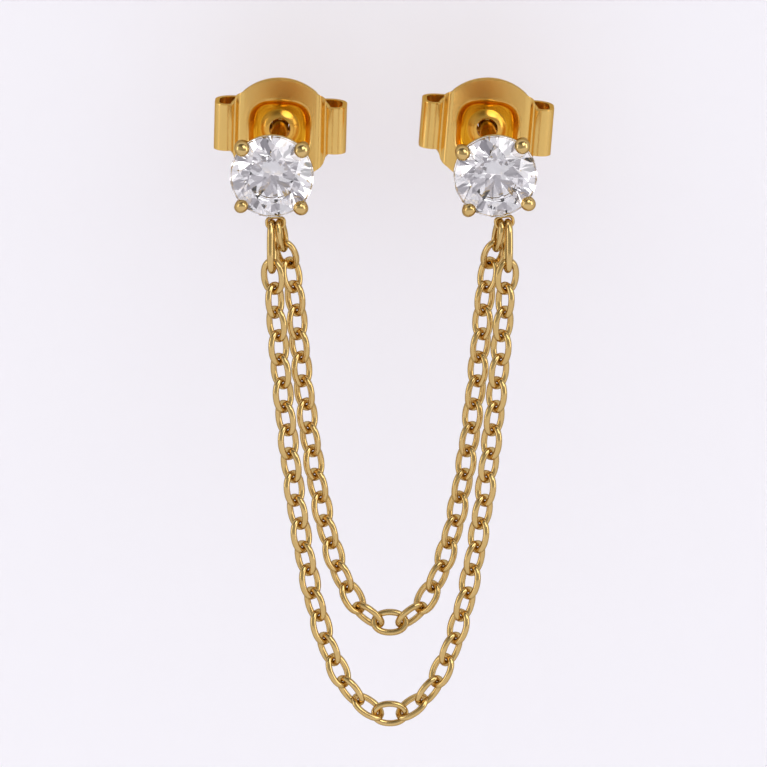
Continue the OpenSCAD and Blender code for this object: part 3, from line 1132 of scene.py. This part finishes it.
@dataclass
class Studio:
    """Pale paper sweep, soft boxes, surroundings and the camera."""

    centre: tuple[float, float, float] = (5.25, 2.0, -11.45)
    elevation: float = 15.5
    distance: float = 620.0
    frame_width: float = 37.0
    wall_y: float = 14.0
    wall_top: float = 600.0
    floor_z: float = -70.0
    floor_front: float = -900.0
    bend: float = 30.0
    half_width: float = 600.0

    def toward_camera(self) -> Vector:
        """Direction from the earring to the camera."""
        e = math.radians(self.elevation)
        return Vector((0.0, -math.cos(e), math.sin(e)))

    def sweep_material(self) -> bpy.types.Material:
        """Matt white whose rear is see-through, so that the object also shows
        from behind.

        Returns:
            The material.
        """
        material, wiring, shader = new_material("pale paper")
        shader.inputs["Roughness"].default_value = 0.9
        shader.inputs["Specular IOR Level"].default_value = 0.1
        place = wiring.add("ShaderNodeTexCoord")
        fibre = wiring.add("ShaderNodeTexNoise", {"Scale": 25.0})
        low, high = ((*tone, 1.0) for tone in PAPER_TONES)
        tone = wiring.add("ShaderNodeMix", {"A": low, "B": high}, data_type="RGBA")
        ray = wiring.add("ShaderNodeLightPath")
        dim = wiring.add("ShaderNodeMix", {"B": (*MIRRORED_PAPER, 1.0)}, data_type="RGBA")
        side = wiring.add("ShaderNodeNewGeometry")
        clear = wiring.add("ShaderNodeBsdfTransparent")
        mix = wiring.add("ShaderNodeMixShader")
        wiring.link(
            (place, "Object", fibre, "Vector"), (fibre, "Fac", tone, "Factor"),
            (ray, "Is Glossy Ray", dim, "Factor"), (tone, "Result", dim, "A"),
            (dim, "Result", shader, "Base Color"), (side, "Backfacing", mix, "Fac"),
            (shader, "BSDF", mix, 1), (clear, "BSDF", mix, 2),
            (mix, "Shader", material.node_tree.nodes["Material Output"], "Surface"),
        )
        return material

    def sweep(self) -> None:
        """Paper sweep: floor, a quarter round and the wall behind."""
        middle = (self.wall_y - self.bend, self.floor_z + self.bend)
        turn = arc_points(middle, self.bend, -90, 90, 24)
        front, top = [[self.floor_front, self.floor_z]], [[self.wall_y, self.wall_top]]
        line = np.vstack([front, turn, top])
        x = np.linspace(-self.half_width, self.half_width, 3)
        grid = np.empty((len(line), x.size, 3))
        grid[..., 0], grid[..., 1], grid[..., 2] = x, line[:, :1], line[:, 1:]
        shell = Shell()
        shell.add_grid(grid, False, False)
        paper = shell.make("paper_sweep")
        paper.data.materials.append(self.sweep_material())
        up = paper.data.polygons[0].normal
        if up.z < 0:
            paper.data.flip_normals()

    def soft_box(
        self, name: str, place: tuple[float, float, float], size: tuple[float, float],
        brightness: float, mirrored: bool = True,
    ) -> None:
        """Rectangular light that faces the earring and isn't seen itself.

        Args:
            name: name of the light.
            place: position in millimetres.
            size: width and height in millimetres.
            brightness: brightness of its surface, where white paper in full
                light is 1. Its power is 4 * area * brightness.
            mirrored: the metal shows it, else it only lights the paper.
        """
        light = bpy.data.lights.new(name, "AREA")
        light.shape = "RECTANGLE"
        light.size, light.size_y = size[0] * MM, size[1] * MM
        light.energy = 4 * light.size * light.size_y * brightness
        lamp = bpy.data.objects.new(name, light)
        lamp.location = Vector(place) * MM
        aim = Vector(self.centre) * MM - lamp.location
        lamp.rotation_mode = "QUATERNION"
        lamp.rotation_quaternion = aim.to_track_quat("-Z", "Y")
        lamp.visible_camera = False
        lamp.visible_glossy, lamp.visible_diffuse = mirrored, not mirrored
        bpy.context.scene.collection.objects.link(lamp)

    def sky(self) -> None:
        """Surroundings. Gold mirrors a calm room that darkens toward the
        camera's place, cut stones gather a paler one with lilac shade, and
        matt surfaces and the eye get plain pale light. Room brightness follows
        the cosine between the ray and the line to the camera."""
        world = bpy.data.worlds.new("studio room")
        world.use_nodes = True
        wiring = Wiring(world.node_tree)
        place = wiring.add("ShaderNodeTexCoord")
        toward = wiring.add(
            "ShaderNodeVectorMath", {1: self.toward_camera()}, operation="DOT_PRODUCT"
        )
        span = wiring.add("ShaderNodeMapRange", {"From Min": -1.0})
        height = wiring.add("ShaderNodeSeparateXYZ")
        ceiling = wiring.add("ShaderNodeMapRange", span_of(0.50, 0.80, 1.0, 0.30))
        panels = wiring.add("ShaderNodeTexNoise", {"Scale": 5.0, "Detail": 3.0, "Distortion": 0.8})
        gaps = wiring.add("ShaderNodeMapRange", span_of(0.36, 0.46, 0.42, 1.0))
        wiring.link(
            (place, "Generated", toward, 0), (toward, "Value", span, "Value"),
            (place, "Generated", height, 0), (height, "Z", ceiling, "Value"),
            (place, "Generated", panels, "Vector"), (panels, "Fac", gaps, "Value"),
        )
        rooms = []
        for spots, dim in ((METAL_ROOM, ceiling), (STONE_ROOM, gaps)):
            ramp = wiring.add("ShaderNodeValToRGB")
            marks = ramp.color_ramp.elements
            marks[0].position, marks[0].color = spots[0][0], (*spots[0][1], 1.0)
            marks[1].position, marks[1].color = spots[-1][0], (*spots[-1][1], 1.0)
            for spot, tone in spots[1:-1]:
                marks.new(spot).color = (*tone, 1.0)
            scale = wiring.add("ShaderNodeVectorMath", operation="SCALE")
            wiring.link(
                (span, "Result", ramp, "Fac"),
                (ramp, "Color", scale, 0),
                (dim, "Result", scale, "Scale"),
            )
            rooms.append(scale)
        metal, stone = rooms
        ray = wiring.add("ShaderNodeLightPath")
        cut = wiring.add("ShaderNodeMix", data_type="RGBA")
        matt = wiring.add("ShaderNodeMix", {"B": (*MATT_FILL, 1.0)}, data_type="RGBA")
        eye = wiring.add("ShaderNodeMix", {"B": (*PALE, 1.0)}, data_type="RGBA")
        wiring.link(
            (ray, "Is Transmission Ray", cut, "Factor"), (metal, "Vector", cut, "A"),
            (stone, "Vector", cut, "B"), (ray, "Is Diffuse Ray", matt, "Factor"),
            (cut, "Result", matt, "A"), (ray, "Is Camera Ray", eye, "Factor"),
            (matt, "Result", eye, "A"),
            (eye, "Result", world.node_tree.nodes["Background"], "Color"),
        )
        bpy.context.scene.world = world

    def camera(self) -> None:
        """Long-lens camera at the picture's viewing angle."""
        lens = bpy.data.cameras.new("camera")
        lens.sensor_width = 36.0
        lens.lens = lens.sensor_width * self.distance / self.frame_width
        lens.clip_start, lens.clip_end = 0.01, 10.0
        camera = bpy.data.objects.new("camera", lens)
        back = self.toward_camera()
        camera.location = (Vector(self.centre) + back * self.distance) * MM
        camera.rotation_mode = "QUATERNION"
        camera.rotation_quaternion = (-back).to_track_quat("-Z", "Y")
        bpy.context.scene.collection.objects.link(camera)
        bpy.context.scene.camera = camera

    def build(self) -> None:
        """Sets up the paper, the lights, the surroundings and the camera."""
        self.sweep()
        self.soft_box("key light", (220.0, -300.0, 380.0), (320.0, 320.0), 1.6)
        self.soft_box("right strip", (420.0, -160.0, 60.0), (160.0, 460.0), 1.4)
        self.soft_box("left strip", (-430.0, -120.0, 0.0), (120.0, 460.0), 1.1)
        self.soft_box("top light", (0.0, -40.0, 480.0), (500.0, 260.0), 1.0, mirrored=False)
        self.sky()
        self.camera()
        bpy.context.scene.view_settings.view_transform = "Standard"


def corners(box: tuple[Vector, Vector]) -> list[list[float]]:
    """Box as plain lists of numbers."""
    return [list(box[0]), list(box[1])]


def hang_chains(layout: Layout, rings: list[JumpRing]) -> None:
    """Hangs the long chain between the jump rings and the short one between
    the loops.

    Args:
        layout: where the loops are.
        rings: the left and the right jump ring.
    """
    half = (Chain.wire + Chain.play) / 2 * UP
    outer, inner = [], []
    for ring in rings:
        lift = ((ring.wire + Chain.wire) / 2 + layout.ring_gap) * UP
        outer.append(ring.bottom() + lift - half)
        aside = np.array([ring.side.value * layout.inner_offset, 0.0, 0.0])
        inner.append(layout.loop_point(ring.side) - aside - half)
    Chain("long_chain", "chain_outer", *outer, links=41, twist=-15.0).build()
    Chain(
        "short_chain", "chain_inner", *inner, links=37,
        back=0.93, plumb=3, first_turn=-45.0, twist=-30.0, middle_turn=30.0, middle_links=1.0,
    ).build()


def main() -> None:
    """Builds every piece and the studio."""
    logging.basicConfig(level=logging.INFO, format="%(name)s: %(message)s")
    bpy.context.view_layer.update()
    layout = Layout()
    rings = [JumpRing(layout, side) for side in Side]
    for ring in rings:
        Stud(layout, ring.side).build()
        Stone(layout, ring.side).build()
        ring.build()
        ButterflyBack(layout, ring.side).build()
    hang_chains(layout, rings)
    Studio().build()
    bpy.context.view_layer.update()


if __name__ == "__main__":
    main()
